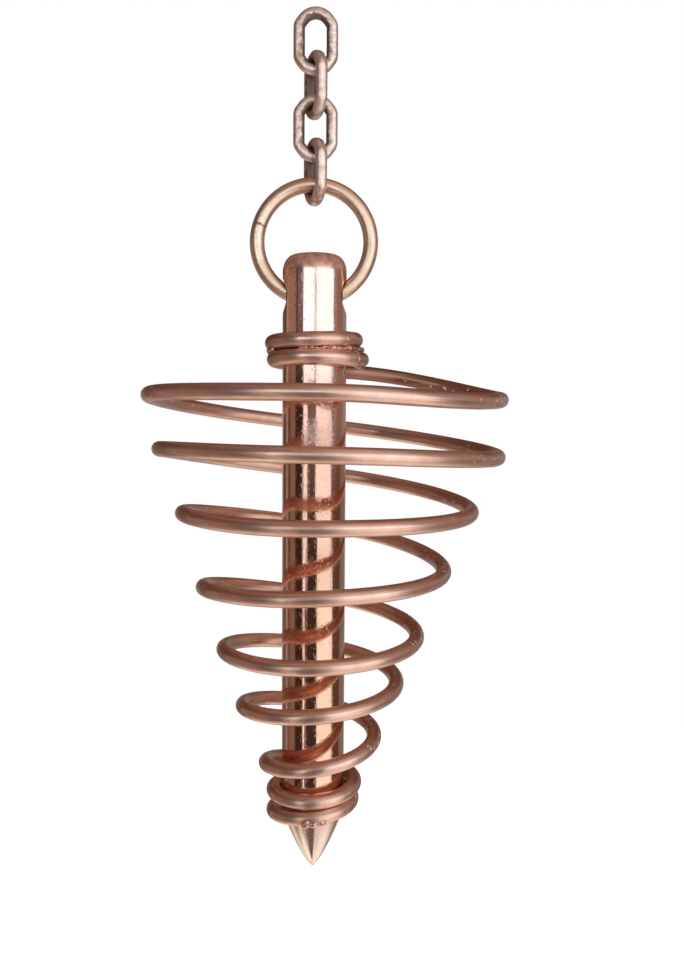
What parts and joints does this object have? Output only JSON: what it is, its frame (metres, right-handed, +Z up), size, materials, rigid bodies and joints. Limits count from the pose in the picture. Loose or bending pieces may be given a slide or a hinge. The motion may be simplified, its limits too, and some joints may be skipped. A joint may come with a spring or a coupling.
{
  "type": "pendulum pendant",
  "caption": "Copper pendulum pendant: a pointed polished rod inside a cone of open wound wire, hanging from a jump ring and the end of a cable chain.",
  "frame": {"origin": "inside of the top link's upper end, where the pendant hangs", "axes": "+Z up along the chain and the rod, +X to the right in the picture, +Y away from its viewer"},
  "size_m": [0.0358, 0.0357, 0.0853],
  "materials": {
    "polished_copper": "mirror polished rose copper with fine scratches",
    "drawn_copper_wire": "satin drawn copper wire",
    "ring_copper": "satin copper with lengthwise draw lines",
    "aged_copper": "aged copper with grey and dark patina"
  },
  "bodies": {
    "chain": {"link_1": "aged_copper", "link_2": "aged_copper", "link_3": "aged_copper", "link_4": "aged_copper"},
    "ring": {"ring": "ring_copper"},
    "pendulum": {"rod": "polished_copper", "coil": "drawn_copper_wire"}
  },
  "joints": [
    {"name": "ring_swing", "type": "hinge", "parent": "chain", "child": "ring", "pos_m": [0, 0, -0.01724], "axis": [0, 1, 0], "range_deg": [-55, 55]},
    {"name": "pendulum_swing", "type": "hinge", "parent": "ring", "child": "pendulum", "pos_m": [0, 0, -0.02661], "axis": [1, 0, 0], "range_deg": [-105, 105]}
  ]
}
